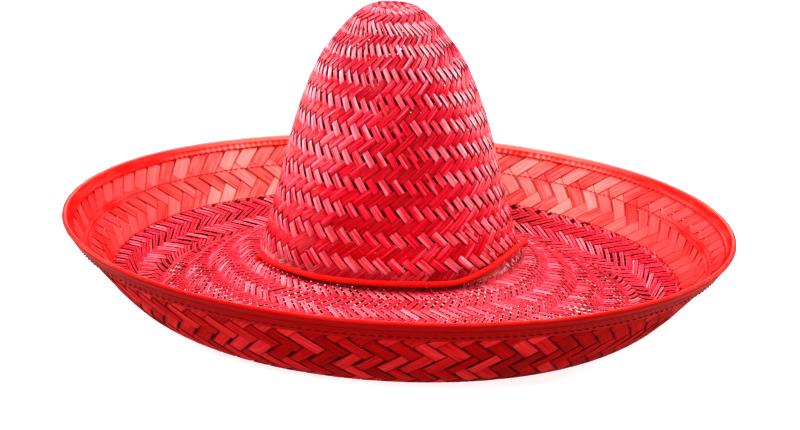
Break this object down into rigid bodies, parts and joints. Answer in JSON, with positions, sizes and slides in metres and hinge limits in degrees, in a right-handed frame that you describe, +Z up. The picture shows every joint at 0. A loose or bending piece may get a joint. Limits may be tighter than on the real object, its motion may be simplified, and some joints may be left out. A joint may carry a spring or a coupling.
{
  "type": "sombrero",
  "caption": "Wide plaited palm sombrero with a tall leaning crown, upturned wire-edged brim bound in tape, and a braided chin cord with a slider.",
  "frame": {"origin": "centre of the hat's footprint, on the surface that its low ring stands on", "axes": "+Z up; -Y towards the hat's front; the two chin-cord holes lie at its sides on -X and +X"},
  "size_m": [0.5194, 0.5194, 0.2306],
  "materials": {
    "fine_plait": "dyed palm plait with a slight gloss",
    "wide_palm": "dyed flat palm leaf, glossy",
    "spring_wire": "drawn spring wire",
    "binding_tape": "glossy woven tape",
    "thread": "spun sewing thread",
    "braided_cord": "round braided cord",
    "slider_wood": "turned and lacquered wood"
  },
  "bodies": {
    "hat": {"crown": "fine_plait", "inner_brim": "fine_plait", "brim_turn_up": "fine_plait", "outer_band": "wide_palm", "seam_strip": "wide_palm", "rim_wire": "spring_wire", "rim_binding": "binding_tape", "plait_seam_thread": "thread", "strip_seam_thread": "thread", "binding_thread_inner": "thread", "binding_thread_outer": "thread", "crown_cord": "braided_cord", "chin_cord_left": "braided_cord", "chin_cord_right": "braided_cord", "cord_knot": "braided_cord", "cord_end_left": "braided_cord", "cord_end_right": "braided_cord"},
    "slider": {"cord_slider": "slider_wood"}
  },
  "joints": [
    {"name": "slider_slide", "type": "slide", "parent": "hat", "child": "slider", "axis": [0, 1, 0], "range_m": [-0.012, 0.058]}
  ]
}
